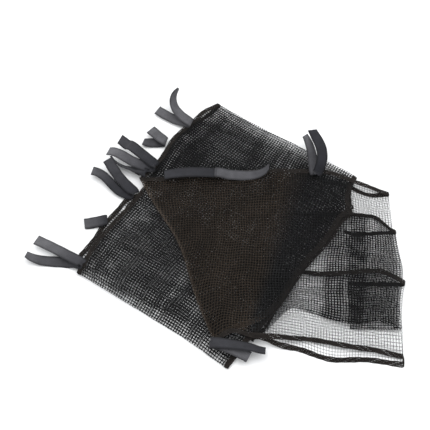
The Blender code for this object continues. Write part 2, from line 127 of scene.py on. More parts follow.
# Places where the cloth is pushed along the surface.
SHOVES = [
    # panels, x, y, reach, dx, dy
    ("P1 P2", -0.085, -0.085, 0.075, 0.018, 0.004),
    ("P3 P2", 0.245, 0.175, 0.085, 0.004, 0.014),
    ("P5 T1", 0.115, -0.345, 0.085, 0.000, 0.046),
    ("P5", 0.400, -0.375, 0.060, 0.000, -0.018),
    ("T1 T2", 0.430, -0.150, 0.045, 0.014, 0.000),
    ("P1 P5", 0.405, 0.050, 0.030, 0.000, 0.008),
    ("P3 P2", 0.320, 0.086, 0.040, 0.006, 0.012),
    ("P4 P3", 0.018, -0.375, 0.050, -0.003, -0.008),
    ("T1", 0.295, -0.265, 0.045, 0.000, -0.018),
    ("P1 P5", 0.397, -0.368, 0.030, 0.002, -0.006),
]
# The tail's lengthwise crease.
CREASE = 0.115  # from the lower hem
CREASE_TO = 0.105  # where it lies across the panel once turned
ROLLED = 0.012  # the hem rolls over first, and the crease then moves up
ROLL_RUN, TURN_RUN = 0.020, 0.085
ROLL_RISE = 0.5
MAIN_DRAWN = 0.86  # crumpling across the wide ply
FLAP_DRAWN = 1.00  # and across the narrow ply
TUCK = 0.006  # the wide ply turns back this far inside the narrow one

# Layers from the surface up, and how much of the relief each takes.
STACK = [
    # level, share of the relief
    ("T2f", 0.00),
    ("T2m", 0.00),
    ("T1m", 0.05),
    ("T1f", 0.10),
    ("P5", 0.20),
    ("P4", 0.35),
    ("P3", 0.55),
    ("P2", 0.80),
    ("P1", 1.00),
]
# Soft relief of the loose layers.
HUMPS = [
    # x, y, long reach, cross reach, direction, height
    (-0.20, -0.10, 0.11, 0.07, 1.0, 0.014),
    (0.10, 0.12, 0.12, 0.06, -0.5, 0.014),
    (-0.02, -0.12, 0.05, 0.10, 0.0, 0.008),
    (0.10, -0.08, 0.06, 0.13, 0.1, 0.007),
    (0.21, -0.02, 0.05, 0.10, 0.2, 0.006),
    (0.12, -0.28, 0.06, 0.05, 0.0, 0.006),
]
EASE_FROM, EASE_TO = 0.006, 0.074  # a layer comes down over a lower one's edge
LEAST_TURN = 0.0012  # radius

STATION_STEP = 0.028  # between sections along the strip
LOW_THREADS, HIGH_THREADS = 5, 8  # across it, below and above the crease

NAMES = [name for name, _, _ in PANELS]
LEVELS = [name for name, _ in STACK]
LIFT = dict(STACK)
SLANT = {name: slant for name, _, slant in PANELS}
START, END = {}, {}
at = 0.0
for name, length, _ in PANELS:
    START[name] = at
    at = LENGTH if length is None else at + length
    END[name] = at


def neighbour(panel, step):
    i = NAMES.index(panel) + step
    return NAMES[i] if 0 <= i < len(NAMES) else None


def near_slant(panel):
    before = neighbour(panel, -1)
    return SLANT[before] if before else 0.0


def smooth(x, low=0.0, high=1.0):
    x = np.clip((x - low) / (high - low), 0, 1)
    return x * x * (3 - 2 * x)


def starts(panel, t):
    """Place along the strip where a panel starts, on each thread."""
    return START[panel] + near_slant(panel) * (folded_across(panel, -1, t) - WIDTH / 2)


def ends(panel, t):
    return END[panel] + SLANT[panel] * (folded_across(panel, 1, t) - WIDTH / 2)


def folded_across(panel, side, t):
    """The tail turns back on both plies at once, so its fold is straight there."""
    if {panel, neighbour(panel, side)} == {"T1", "T2"}:
        return section("T2", None, t)[0]
    return t


# ---------------------------------------------------------------- the folds
def fold_points(flat, s, slant):
    """Both ends of a fold on the surface."""
    low = flat @ np.array([s - slant * WIDTH / 2, 0, 1])
    high = flat @ np.array([s + slant * WIDTH / 2, WIDTH, 1])
    return low, high


def folded(flat, low, high):
    """The placing of the next panel: this one's, mirrored in the fold."""
    along = (high - low) / np.linalg.norm(high - low)
    mirror = 2 * np.outer(along, along) - np.eye(2)
    out = mirror @ flat
    out[:, 2] += (np.eye(2) - mirror) @ low
    return out


def lay_panels():
    turn = np.array(
        [[cos(TOP_ANGLE), -sin(TOP_ANGLE)], [sin(TOP_ANGLE), cos(TOP_ANGLE)]]
    )
    start = np.array([TOP_X, TOP_Y]) - turn @ np.array([START[TOP_PANEL], WIDTH / 2])
    flats = {TOP_PANEL: np.c_[turn, start]}
    top = NAMES.index(TOP_PANEL)
    for i in range(top, len(NAMES) - 1):
        here = NAMES[i]
        fold = fold_points(flats[here], END[here], SLANT[here])
        flats[NAMES[i + 1]] = folded(flats[here], *fold)
    for i in range(top, 0, -1):
        here, before = NAMES[i], NAMES[i - 1]
        fold = fold_points(flats[here], END[before], SLANT[before])
        flats[before] = folded(flats[here], *fold)
    return flats


FLATS = lay_panels()


def crease_at(panel, s):
    """The tail's crease: how far turned, and its place from the lower hem."""
    if panel != "T1":
        return 1.0, CREASE
    past = s - START["T1"] + near_slant("T1") * WIDTH / 2
    grown = smooth(past, ROLL_RUN, TURN_RUN)
    return smooth(past, 0.004, ROLL_RUN), ROLLED + (CREASE - ROLLED) * grown


def section(panel, s, t):
    """The panel's cross-section: place across it, and height over its level.

    Only the tail has one: its lower part turns up about the crease."""
    t = np.asarray(t, float)
    if panel not in ("T1", "T2"):
        return t, np.zeros_like(t)
    turned, crease = crease_at(panel, s)
    share = (crease - ROLLED) / (CREASE - ROLLED)
    drawn = 1 - (1 - MAIN_DRAWN) * share
    lies = crease + (CREASE_TO - CREASE) * share
    half = pi * GAP / 4
    angle = np.maximum(pi * turned, 1e-4)
    radius = pi * GAP / 2 / angle
    down = crease - t
    swept = angle * np.clip((down + half) / (2 * half), 0, 1)
    rest = np.maximum(down - half, 0)
    tight = np.where(angle > pi / 2, FLAP_DRAWN, 1.0)
    flap = lies + half * drawn - radius * np.sin(swept) - rest * np.cos(angle) * tight
    rise = radius * (1 - np.cos(swept)) + rest * np.sin(angle) * ROLL_RISE
    wide = down < -half
    return np.where(wide, lies - down * drawn, flap), np.where(wide, 0.0, rise)


def plan(panel, s, t):
    """Where a point of the strip lies on the surface, seen from above."""
    s, t = np.broadcast_arrays(np.asarray(s, float), np.asarray(t, float))
    flat = FLATS[panel]
    across, _ = section(panel, s, t)
    xy = np.stack(
        [
            flat[0, 0] * s + flat[0, 1] * across + flat[0, 2],
            flat[1, 0] * s + flat[1, 1] * across + flat[1, 2],
        ],
        -1,
    )
    first, last = starts(panel, t), ends(panel, t)
    u = (s - first) / (last - first)
    v = np.clip(t / WIDTH, 0, 1)
    inside = smooth(4 * np.clip(u, 0, 1) * np.clip(1 - u, 0, 1), 0, 0.6)
    for owner, hem, centre, spread, shift in WANDER:
        if owner == panel:
            along = np.exp(-(((u - centre) / spread) ** 2) / 2) * inside
            reach = v**1.5 if hem else (1 - v) ** 1.5
            xy = xy + (along * reach * shift)[..., None] * flat[:, 1]
    out = xy.copy()
    for panels, x, y, reach, dx, dy in SHOVES:
        if panel in panels.split():
            far = (xy[..., 0] - x) ** 2 + (xy[..., 1] - y) ** 2
            push = np.exp(-far / (2 * reach * reach))
            out[..., 0] += push * dx
            out[..., 1] += push * dy
    return out


# ---------------------------------------------------------------- heights
def outline(level):
    """A level's outline, seen from above."""
    panel = level[:2]
    half = pi * GAP / 4

    def at_u(u, share):
        first, last = starts(panel, CREASE), ends(panel, CREASE)
        crease = crease_at(panel, first + u * (last - first))[1]
        low = crease + half if level.endswith("m") else 0.0
        high = crease - half if level.endswith("f") else WIDTH
        t = low + share * (high - low)
        first, last = starts(panel, t), ends(panel, t)
        return plan(panel, first + u * (last - first), t)

    steps, rungs = np.linspace(0, 1, 13)[:-1], np.linspace(0, 1, 5)[:-1]
    ring = [at_u(u, 0.0) for u in steps]
    ring += [at_u(1.0, k) for k in rungs]
    ring += [at_u(1 - u, 1.0) for u in steps]
    ring += [at_u(0.0, 1 - k) for k in rungs]
    return np.array(ring)


def outside(points, ring):
    """Distance from an outline, negative within it."""
    shape = points.shape[:-1]
    points = points.reshape(-1, 2)
    nearest = np.full(len(points), 1e9)
    within = np.zeros(len(points), bool)
    for a, b in zip(ring, np.roll(ring, -1, axis=0)):
        edge, way = b - a, points - a
        k = np.clip(way @ edge / max(edge @ edge, 1e-12), 0, 1)
        gap = way - k[:, None] * edge
        nearest = np.minimum(nearest, (gap * gap).sum(1))
        if a[1] != b[1]:
            crossed = (a[1] > points[:, 1]) != (b[1] > points[:, 1])
            x = edge[0] * (points[:, 1] - a[1]) / edge[1] + a[0]
            within ^= crossed & (points[:, 0] < x)
    far = np.sqrt(nearest)
    return np.where(within, -far, far).reshape(shape)


RINGS = {name: outline(name) for name in LEVELS}


def relief(xy):
    z = np.zeros(xy.shape[:-1])
    for x, y, long, cross, way, high in HUMPS:
        dx, dy = xy[..., 0] - x, xy[..., 1] - y
        u = dx * cos(way) + dy * sin(way)
        v = dy * cos(way) - dx * sin(way)
        z += high * np.exp(-(u * u / (long * long) + v * v / (cross * cross)) / 2)
    return z


def level_height(level, xy):
    """A layer lies a gap over each lower one that is there."""
    z = np.full(xy.shape[:-1], SHEET * HEM_FACTOR / 2)
    for lower in LEVELS[: LEVELS.index(level)]:
        z += GAP * (1 - smooth(outside(xy, RINGS[lower]), EASE_FROM, EASE_TO))
    return z + LIFT[level] * relief(xy)


def height(panel, s, t, xy):
    _, rise = section(panel, s, t)
    level = {"T1": "T1m", "T2": "T2m"}.get(panel, panel)
    return level_height(level, xy) + {"T1": 1.0, "T2": -1.0}.get(panel, 0.0) * rise


def turn_radius(zp, zq):
    return np.maximum(np.abs(zp - zq) / 2, LEAST_TURN)


def surface(panel, s, t):
    """The middle of the sheet, with each fold a half round turn."""
    s, t = np.broadcast_arrays(np.asarray(s, float), np.asarray(t, float))
    xy = plan(panel, s, t)
    z = height(panel, s, t, xy)
    folds = []
    if neighbour(panel, -1):
        folds.append((neighbour(panel, -1), starts(panel, t), near_slant(panel), -1))
    if neighbour(panel, 1):
        folds.append((neighbour(panel, 1), ends(panel, t), SLANT[panel], 1))
    for other, at_s, slant, side in folds:
        leg = (1 + slant * slant) ** 0.5
        far = (at_s - s) / leg * side
        m = far < 0.25
        if not m.any():
            continue
        d = far[m]
        fs, ft = s[m] + side * d / leg, t[m] - side * d * slant / leg
        if {panel, other} == {"T1", "T2"}:
            fs, ft = at_s[m], t[m]
        here, there = plan(panel, fs, ft), plan(other, fs, ft)
        zh, zt = height(panel, fs, ft, here), height(other, fs, ft, there)
        r, middle = turn_radius(zh, zt), (zh + zt) / 2
        way = FLATS[panel][:, :2] @ np.array([1.0, -slant])
        way = side * way / np.linalg.norm(way)
        swing = np.clip(d / r, 0, pi / 2)
        share = 0.5 * (1 - np.sin(swing))
        arc = here * (1 - share)[:, None] + there * share[:, None]
        arc = arc + (r * (np.cos(swing) - 1))[:, None] * way
        ease = (pi / 2 - 1) * r * np.exp(-np.maximum(d - pi * r / 2, 0) / 0.05)
        on = d < pi * r / 2
        xy[m] = np.where(on[:, None], arc, xy[m] + ease[:, None] * way)
        if {panel, other} == {"T1", "T2"}:
            wide = smooth(t[m], CREASE - GAP, CREASE + GAP)
            xy[m] -= (TUCK * wide * np.exp(-((d / 0.06) ** 2)))[:, None] * way
        up = np.where(zh >= zt, 1.0, -1.0)
        z[m] = np.where(on, middle + up * r * np.sin(swing), z[m])
    return np.concatenate([xy, z[..., None]], -1)


# ---------------------------------------------------------------- tie straps
# Each strap is one length of flat tape, sewn to a hem at its middle.  Row by
# row: where a tail leaves the seam, its length, and its bearing from +X, its
# climb and its roll at the start, the middle and the end, in degrees.
TAILS = [
    # strap, x, y, z, length, bearings, climbs, rolls
    (1, -0.299, -0.130, 0.0118, 0.120, (150, 152, 155), (5, 1, 4), (0, 2, 4)),
    (1, -0.300, -0.133, 0.0048, 0.129, (160, 176, 154), (0, 0, 28), (0, -8, 38)),
    (2, -0.251, -0.021, 0.0042, 0.050, (185, 187, 190), (0, 1, 2), (-6, -8, -12)),
    (2, -0.251, -0.021, 0.0018, 0.047, (186, 187, 188), (0, 0, 0), (0, 0, 0)),
    (3, -0.200, 0.051, 0.0050, 0.114, (176, 131, 176), (2, 6, 8), (4, 14, 4)),
    (3, -0.191, 0.057, 0.0120, 0.101, (137, 129, 122), (2, 0, 2), (-6, -14, -14)),
    (4, -0.146, 0.130, 0.0180, 0.106, (144, 142, 140), (0, 8, 2), (-8, -20, -38)),
    (4, -0.149, 0.121, 0.0110, 0.118, (178, 153, 166), (-2, 18, -24), (4, -8, 8)),
    (5, -0.172, 0.108, 0.0080, 0.092, (152, 156, 124), (6, 1, 32), (20, 44, 68)),
    (5, -0.169, 0.113, 0.0044, 0.030, (149, 146, 150), (0, 0, 0), (0, 0, 0)),
    (6, -0.124, 0.200, 0.0060, 0.051, (176, 180, 164), (-4, 0, 4), (0, -8, 18)),
    (6, -0.123, 0.202, 0.0130, 0.048, (152, 138, 126), (18, 4, -24), (0, -8, -10)),
    (7, -0.062, 0.255, 0.0172, 0.110, (148, 113, 39), (12, 6, 30), (4, 24, 110)),
    (7, -0.063, 0.254, 0.0100, 0.092, (166, 150, 146), (-4, -2, 6), (-4, -6, -6)),
    (8, -0.002, 0.098, 0.0290, 0.118, (177, 181, 185), (4, -2, -14), (0, -8, 4)),
    (8, 0.002, 0.098, 0.0290, 0.135, (-5, -4, 31), (0, 3, 58), (4, 8, -38)),
    (9, 0.235, 0.098, 0.0290, 0.104, (101, 95, 130), (4, 2, 34), (4, 18, 30)),
    (9, 0.243, 0.100, 0.0360, 0.121, (60, 98, 112), (38, -8, 6), (30, -6, 18)),
    (10, -0.006, -0.323, 0.0190, 0.084, (-17, -22, -30), (2, 0, -6), (0, -4, 20)),
    (10, -0.004, -0.325, 0.0250, 0.112, (0, -11, -8), (0, -4, 0), (0, -22, -34)),
]
TAIL_ROWS = 10
REST = 0.0004  # a tape lies this far over what is under it


def eased(three, u):
    """A curve through values at the start, the middle and the end."""
    a, m, b = np.radians(three)
    return a * (1 - u) * (1 - 2 * u) + m * 4 * u * (1 - u) + b * u * (2 * u - 1)


def cover(xy, tapes):
    """Top of the cloth and of the tapes at a place, or the surface they lie on."""
    z = np.zeros(xy.shape[:-1])
    for level in LEVELS:
        top = level_height(level, xy) + SHEET / 2
        z = np.where(outside(xy, RINGS[level]) < 0.006, np.maximum(z, top), z)
    for points in tapes:
        far = np.linalg.norm(xy[:, None] - points[:, :2], axis=-1)
        top = np.where(far < 0.0055, points[:, 2] + TAPE / 2 + REST, 0).max(axis=1)
        z = np.maximum(z, top)
    return z


def tape_points(middle, across):
    """A close set of points on a tape."""
    closer = np.linspace(0, len(middle) - 1, 4 * len(middle))
    rows = [np.interp(closer, range(len(middle)), middle[:, k]) for k in range(3)]
    ways = [np.interp(closer, range(len(middle)), across[:, k]) for k in range(3)]
    rows, ways = np.array(rows).T, np.array(ways).T
    spread = np.linspace(-0.5, 0.5, 7)[:, None, None] * TAPE_WIDTH
    return (rows + spread * ways).reshape(-1, 3)


def tail(x, y, z, length, bearings, climbs, rolls, tapes):
    """Middle line of one tail, the direction across its tape, and its heading."""
    u = np.linspace(0, 1, TAIL_ROWS)
    b, c, r = (eased(three, u) for three in (bearings, climbs, rolls))
    way = np.stack([np.cos(b) * np.cos(c), np.sin(b) * np.cos(c), np.sin(c)], -1)
    level = np.stack([-np.sin(b), np.cos(b), 0 * b], -1)
    across = level * np.cos(r)[:, None] + np.cross(way, level) * np.sin(r)[:, None]
    middle = np.zeros((TAIL_ROWS, 3))
    middle[0] = x, y, z
    steps = (way[1:] + way[:-1]) / 2 * (length / (TAIL_ROWS - 1))
    middle[1:] = middle[0] + np.cumsum(steps, axis=0)
    lift = np.zeros(TAIL_ROWS)
    for side in (-0.5, -0.25, 0.0, 0.25, 0.5):
        at = middle + side * TAPE_WIDTH * across
        under = cover(at[:, :2], tapes) + TAPE / 2 + REST
        lift = np.maximum(lift, under - at[:, 2])
    near = np.pad(lift, 1, mode="edge")
    middle[:, 2] += np.maximum(lift, np.maximum(near[:-2], near[2:]) * 0.8)
    return middle, across, way


def lay_tails():
    """The tails from the lowest up, each over those laid before it."""
    laid, tapes = {}, []
    for i in sorted(range(len(TAILS)), key=lambda i: TAILS[i][3]):
        laid[i] = tail(*TAILS[i][1:], tapes)
        tapes.append(tape_points(*laid[i][:2]))
    return [(TAILS[i][0], *laid[i]) for i in range(len(TAILS))]


LAID = lay_tails()


def strap(number):
    """Both edges of a strap: in along one tail, over the seam, out on the other."""
    (a, wa, da), (b, wb, db) = (row[1:] for row in LAID if row[0] == number)
    if (wa[0] * wb[0]).sum() < 0:
        wb = -wb
    reach = min(0.7 * np.linalg.norm(b[0] - a[0]), 0.006) + 0.0015
    u = np.linspace(0, 1, 5)[1:-1, None]
    hook = (1 - u) ** 3 * a[0] + 3 * u * (1 - u) ** 2 * (a[0] - da[0] * reach)
    hook += 3 * u * u * (1 - u) * (b[0] - db[0] * reach) + u**3 * b[0]
    over = wa[0] * (1 - u) + wb[0] * u
    over /= np.linalg.norm(over, axis=1)[:, None]
    middle = np.concatenate([a[::-1], hook, b])
    across = np.concatenate([wa[::-1], over, wb]) * TAPE_WIDTH / 2
    return np.stack([middle - across, middle + across], 1)


# ------------------------------------------------------- along the strip
FLOOR_GAP = 0.0001  # nothing goes lower than this
# Where the packet's lower hem is bunched and bulges past its line.
BUNCHES = [
    # along the strip, reach, bulge, waves
    (0.722, 0.024, 0.016, 0.0030),
    (0.876, 0.018, 0.013, 0.0026),
]
BUNCH_TO = 0.060  # it dies out this far across the strip


def strip_point(s, t):
    """Middle of the sheet at any place along the strip and across it."""
    s, t = np.broadcast_arrays(np.asarray(s, float), np.asarray(t, float))
    for at_s, reach, bulge, waves in BUNCHES:
        near = np.exp(-(((s - at_s) / reach) ** 2))
        push = near * (bulge + waves * np.sin(2 * pi * s / 0.0135))
        t = t - push * np.clip(1 - t / BUNCH_TO, 0, 1.2)
    out = np.zeros(s.shape + (3,))
    left = np.ones(s.shape, bool)
    for panel in NAMES:
        here = left if neighbour(panel, 1) is None else left & (s <= ends(panel, t))
        if here.any():
            out[here] = surface(panel, s[here], t[here])
        left = left & ~here
    return out


def strip_frame(s, t, step=0.0004):
    """The point and the sheet's normal there."""
    at = strip_point(s, t)
    back = np.where(s > LENGTH / 2, -1.0, 1.0)
    side = np.where(t > WIDTH / 2, -1.0, 1.0)
    along = (strip_point(s + back * step, t) - at) * back[..., None]
    across = (strip_point(s, t + side * step) - at) * side[..., None]
    normal = np.cross(along, across)
    length = np.linalg.norm(normal, axis=-1, keepdims=True)
    return at, normal / np.maximum(length, 1e-12)


# ---------------------------------------------------------- mesh of tubes
class Tubes:
    """Many capped tubes gathered into one mesh, with its marks and its map."""

    def __init__(self, sides=4):
        self.sides = sides
        self.points, self.faces, self.spans = [], [], []
        self.marks, self.count = [], 0

    def add(self, path, normal, radius, flat=0.85, marks=0.0):
        n, k = len(path), self.sides
        way = np.gradient(path, axis=0)
        way /= np.maximum(np.linalg.norm(way, axis=1, keepdims=True), 1e-9)
        side = np.cross(way, normal)
        side /= np.maximum(np.linalg.norm(side, axis=1, keepdims=True), 1e-9)
        up = np.cross(side, way)
        turn = 2 * pi * np.arange(k) / k
        radius = np.broadcast_to(np.asarray(radius, float), (n,))
        ring = side[:, None] * np.cos(turn)[None, :, None]
        ring = ring + up[:, None] * (flat * np.sin(turn))[None, :, None]
        points = path[:, None] + ring * radius[:, None, None]
        points[..., 2] = np.maximum(points[..., 2], FLOOR_GAP)
        first = self.count
        i = np.arange(n - 1)[:, None] * k
        j = np.arange(k)[None, :]
        walls = np.stack(
            [i + j, i + (j + 1) % k, i + k + (j + 1) % k, i + k + j], -1
        ).reshape(-1, 4)
        self.points.append(points.reshape(-1, 3))
        self.faces.append(walls + first)
        self.spans.append((first, n))
        self.marks.append(np.repeat(np.broadcast_to(marks, (n,)), k))
        self.count += n * k

    def triangles(self):
        return sum(2 * len(f) for f in self.faces) + (self.sides - 2) * 2 * len(self.spans)

    def piece(self, name, coat, mark="tone"):
        k = self.sides
        points = np.concatenate(self.points) + SHIFT
        faces = np.concatenate(self.faces).tolist()
        uvs = []
        rows = len(self.spans)
        for r, (first, n) in enumerate(self.spans):
            u = np.linspace(0.002, 0.998, n)
            v = (r + 0.06 + 0.88 * np.arange(k + 1) / k) / rows
            i, j = np.meshgrid(np.arange(n - 1), np.arange(k), indexing="ij")
            quad = np.stack(
                [
                    np.stack([u[i], v[j]], -1),
                    np.stack([u[i], v[j + 1]], -1),
                    np.stack([u[i + 1], v[j + 1]], -1),
                    np.stack([u[i + 1], v[j]], -1),
                ],
                2,
            )
            uvs.append(quad.reshape(-1, 2))
        for r, (first, n) in enumerate(self.spans):
            last = first + (n - 1) * k
            faces.append([first + j for j in range(k)][::-1])
            faces.append([last + j for j in range(k)])
            v = (r + 0.06 + 0.88 * np.arange(k) / k) / rows
            uvs.append(np.stack([np.zeros(k) + 0.001, v], -1)[::-1])
            uvs.append(np.stack([np.zeros(k) + 0.999, v], -1))
        return mesh_piece(
            name, points, faces, coat, np.concatenate(uvs), {mark: np.concatenate(self.marks)}
        )


def mesh_piece(name, points, faces, coat, uvs=None, marks=None):
    mesh = bpy.data.meshes.new(name)
    mesh.from_pydata(points.tolist(), [], faces)
    mesh.polygons.foreach_set("use_smooth", np.ones(len(mesh.polygons), bool))
    if uvs is not None:
        layer = mesh.uv_layers.new(name="OFBake", do_init=False)
        layer.uv.foreach_set("vector", uvs.astype(np.float32).ravel())
    for key, values in (marks or {}).items():
        layer = mesh.attributes.new(key, "FLOAT", "POINT")
        layer.data.foreach_set("value", np.asarray(values, np.float32))
    mesh.materials.append(coat)
    thing = bpy.data.objects.new(name, mesh)
    bpy.context.scene.collection.objects.link(thing)
    return thing


# -------------------------------------------------------------- materials
class Nodes:
    """A short way to lay out a material's nodes."""

    def __init__(self, name):
        self.coat = bpy.data.materials.new(name)
        self.coat.use_nodes = True
        self.tree = self.coat.node_tree
        self.shader = self.tree.nodes["Principled BSDF"]

    def add(self, kind, values=None, links=None, **settings):
        node = self.tree.nodes.new(kind)
        for key, value in settings.items():
            setattr(node, key, value)
        for key, value in (values or {}).items():
            node.inputs[key].default_value = value
        for key, source in (links or {}).items():
            self.tree.links.new(source, node.inputs[key])
        return node

    def noise(self, scale, detail=3.0, rough=0.55, where=None, **extra):
        links = {"Vector": where} if where else {}
        return self.add(
            "ShaderNodeTexNoise",
            {"Scale": scale, "Detail": detail, "Roughness": rough, **extra},
            links,
        ).outputs["Fac"]

    def ramp(self, source, *stops):
        node = self.add("ShaderNodeValToRGB", links={"Fac": source})
        while len(node.color_ramp.elements) < len(stops):
            node.color_ramp.elements.new(0.5)
        for element, (place, colour) in zip(node.color_ramp.elements, stops):
            element.position = place
            element.color = (*colour, 1) if hasattr(colour, "__len__") else (colour,) * 3 + (1,)
        return node.outputs["Color"]

    def mix(self, share, a, b, how="MIX"):
        node = self.add("ShaderNodeMix", data_type="RGBA", blend_type=how)
        for key, value in (("Factor", share), ("A", a), ("B", b)):
            socket = [x for x in node.inputs if x.name == key and x.enabled][0]
            if isinstance(value, bpy.types.NodeSocket):
                self.tree.links.new(value, socket)
            elif key == "Factor":
                socket.default_value = value
            else:
                socket.default_value = (*value, 1)
        return [x for x in node.outputs if x.enabled][0]

    def maths(self, how, a, b=0.0, clamp=False):
        node = self.add("ShaderNodeMath", operation=how, use_clamp=clamp)
        for i, value in enumerate((a, b)):
            if isinstance(value, bpy.types.NodeSocket):
                self.tree.links.new(value, node.inputs[i])
            else:
                node.inputs[i].default_value = value
        return node.outputs[0]

    def mark(self, name):
        return self.add("ShaderNodeAttribute", attribute_name=name).outputs["Fac"]

    def place(self):
        return self.add("ShaderNodeTexCoord").outputs["Object"]

    def bump(self, height, strength, distance, under=None):
        links = {"Height": height}
        if under:
            links["Normal"] = under
        return self.add(
            "ShaderNodeBump", {"Strength": strength, "Distance": distance}, links
        ).outputs["Normal"]

    def finish(self, colour, rough, normal=None, **sockets):
        for key, value in (("Base Color", colour), ("Roughness", rough), ("Normal", normal)):
            if isinstance(value, bpy.types.NodeSocket):
                self.tree.links.new(value, self.shader.inputs[key])
            elif value is not None:
                self.shader.inputs[key].default_value = (
                    (*value, 1) if key == "Base Color" else value
                )
        for key, value in sockets.items():
            self.shader.inputs[key.replace("_", " ")].default_value = value
        return self.coat


def yarn_coat():
    """Black knitted yarn, a little browner in the top layer, with dull glints; its tone paints light and shade by
    layer: the top layer brighter and browner as painted light, the P2 layer darker as painted shade, and a pale
    painted highlight along the oblique fold.
    """
    m = Nodes("net_yarn")
    where = m.place()
    # the tone ramp paints light and shade on one yarn: darker for P2, brighter and browner on the top layer, pale as
    # a painted highlight at the oblique fold
    base = m.ramp(
        m.mark("tone"),
        (0.0, (0.0062, 0.0064, 0.0068)),
        (0.45, (0.0115, 0.0116, 0.0120)),
        (0.80, (0.0275, 0.0205, 0.0150)),
        (1.0, (0.0560, 0.0440, 0.0345)),
    )
    patchy = m.ramp(m.noise(22.0, 2.0, where=where), (0.30, 0.75), (0.70, 1.30))
    fine = m.ramp(m.noise(420.0, 2.0, where=where), (0.30, 0.70), (0.72, 1.35))
    colour = m.mix(1.0, m.mix(1.0, base, patchy, "MULTIPLY"), fine, "MULTIPLY")
    rough = m.ramp(m.noise(300.0, 2.0, where=where), (0.3, 0.55), (0.7, 0.75))
    twist = m.noise(1500.0, 2.0, where=where)
    return m.finish(
        colour, rough, m.bump(twist, 0.35, 0.0002), Specular_IOR_Level=0.12
    )


def hem_coat():
    """The hem's thicker knitted cords, brown-black."""
    m = Nodes("net_hem")
    where = m.place()
    base = m.ramp(m.noise(60.0, 3.0, where=where), (0.30, (0.0135, 0.0110, 0.0095)), (0.72, (0.0270, 0.0225, 0.0200)))
    fine = m.ramp(m.noise(900.0, 2.0, where=where), (0.28, 0.62), (0.75, 1.30))
    base = m.mix(m.mark("tone"), base, (0.0640, 0.0500, 0.0400))
    colour = m.mix(1.0, base, fine, "MULTIPLY")
    twist = m.noise(1300.0, 3.0, where=where)
    return m.finish(
        colour, 0.75, m.bump(twist, 0.5, 0.0003), Specular_IOR_Level=0.18
    )


def tape_coat():
    """Woven tape: charcoal or paler grey by its tone, flat at its edges."""
    m = Nodes("strap_tape")
    where = m.place()
    base = m.ramp(
        m.mark("tone"),
        (0.0, (0.0140, 0.0144, 0.0182)),
        (0.5, (0.0600, 0.0592, 0.0650)),
        (1.0, (0.1420, 0.1400, 0.1480)),
    )
    pile = m.ramp(m.noise(1400.0, 3.0, where=where), (0.25, 0.60), (0.75, 1.42))
    cloud = m.ramp(m.noise(55.0, 3.0, where=where), (0.30, 0.84), (0.70, 1.16))
    colour = m.mix(1.0, m.mix(1.0, base, pile, "MULTIPLY"), cloud, "MULTIPLY")
    edge = m.ramp(m.mark("edge"), (0.55, 1.0), (0.80, 0.52))
    colour = m.mix(1.0, colour, edge, "MULTIPLY")
    rib = m.ramp(m.mark("rib"), (0.0, 0.80), (1.0, 1.10))
    colour = m.mix(1.0, colour, rib, "MULTIPLY")
    fuzz = m.noise(1900.0, 3.0, where=where)
    return m.finish(
        colour,
        0.88,
        m.bump(fuzz, 0.55, 0.0005),
        Specular_IOR_Level=0.16,
        Sheen_Weight=0.04,
        Sheen_Roughness=0.6,
    )


def thread_coat():
    m = Nodes("strap_thread")
    where = m.place()
    colour = m.ramp(m.noise(500.0, 2.0, where=where), (0.3, (0.012, 0.012, 0.015)), (0.7, (0.032, 0.032, 0.038)))
    return m.finish(colour, 0.6, m.bump(m.noise(2500.0, 2.0, where=where), 0.4, 0.0002))


def floor_coat():
    m = Nodes("floor_card")
    where = m.place()
    colour = m.ramp(m.noise(1.2, 3.0, where=where), (0.3, (0.865, 0.865, 0.865)), (0.7, (0.885, 0.885, 0.885)))
    return m.finish(colour, 0.9, Specular_IOR_Level=0.1)


# --------------------------------------------------------------- the mesh
PITCH_ALONG = 0.006104  # crosswise yarns, one each
PITCH_ACROSS = 0.00619  # lengthwise yarns
ROWS_ALONG = 403
ROWS_ACROSS = 61
FIRST_ACROSS = (WIDTH - (ROWS_ACROSS - 1) * PITCH_ACROSS) / 2
WEAVE = 0.22  # how far a yarn passes over or under the middle, per diameter
FLAT = 0.66  # a yarn's height over its width
# Yarn diameter per pitch along the strip: the mesh is slack and full in the
# packet, drawn thin at its sheer folds, and drawn open in the single layers.
FULLNESS = [
    (0.000, 0.380),
    (0.225, 0.360),
    (0.243, 0.260),
    (0.255, 0.210),
    (0.267, 0.250),
    (0.285, 0.360),
    (0.480, 0.370),
    (0.600, 0.450),
    (0.750, 0.430),
    (0.784, 0.320),
    (0.796, 0.200),
    (0.803, 0.170),
    (0.806, 0.300),
    (0.811, 0.300),
    (0.814, 0.170),
    (0.820, 0.200),
    (0.832, 0.340),
    (0.870, 0.440),
    (0.950, 0.500),
    (1.205, 0.500),
    (1.220, 0.280),
    (1.380, 0.290),
    (1.460, 0.330),
    (1.503, 0.320),
    (1.520, 0.130),
    (1.560, 0.105),
    (1.900, 0.100),
    (2.022, 0.100),
    (2.110, 0.110),
    (2.172, 0.200),
    (2.184, 0.380),
    (2.217, 0.400),
    (2.223, 0.220),
    (2.229, 0.410),
    (2.262, 0.400),
    (2.272, 0.210),
    (2.344, 0.190),
    (2.460, 0.230),
]
FLAP = (0.10, 0.08)  # the tail's narrow ply is thinner: up to there, and how full
# Small places where the layers open and the surface below shows through.
SLITS = [
    # x, y, long reach, cross reach, direction
    (-0.0259, 0.2725, 0.016, 0.0040, 0.80),
    (-0.0719, 0.2168, 0.011, 0.0032, 0.98),
    (-0.2903, -0.0997, 0.008, 0.0032, 0.94),
    (-0.2552, -0.0471, 0.013, 0.0032, 0.98),
    (-0.2150, 0.0126, 0.012, 0.0032, 0.80),
]
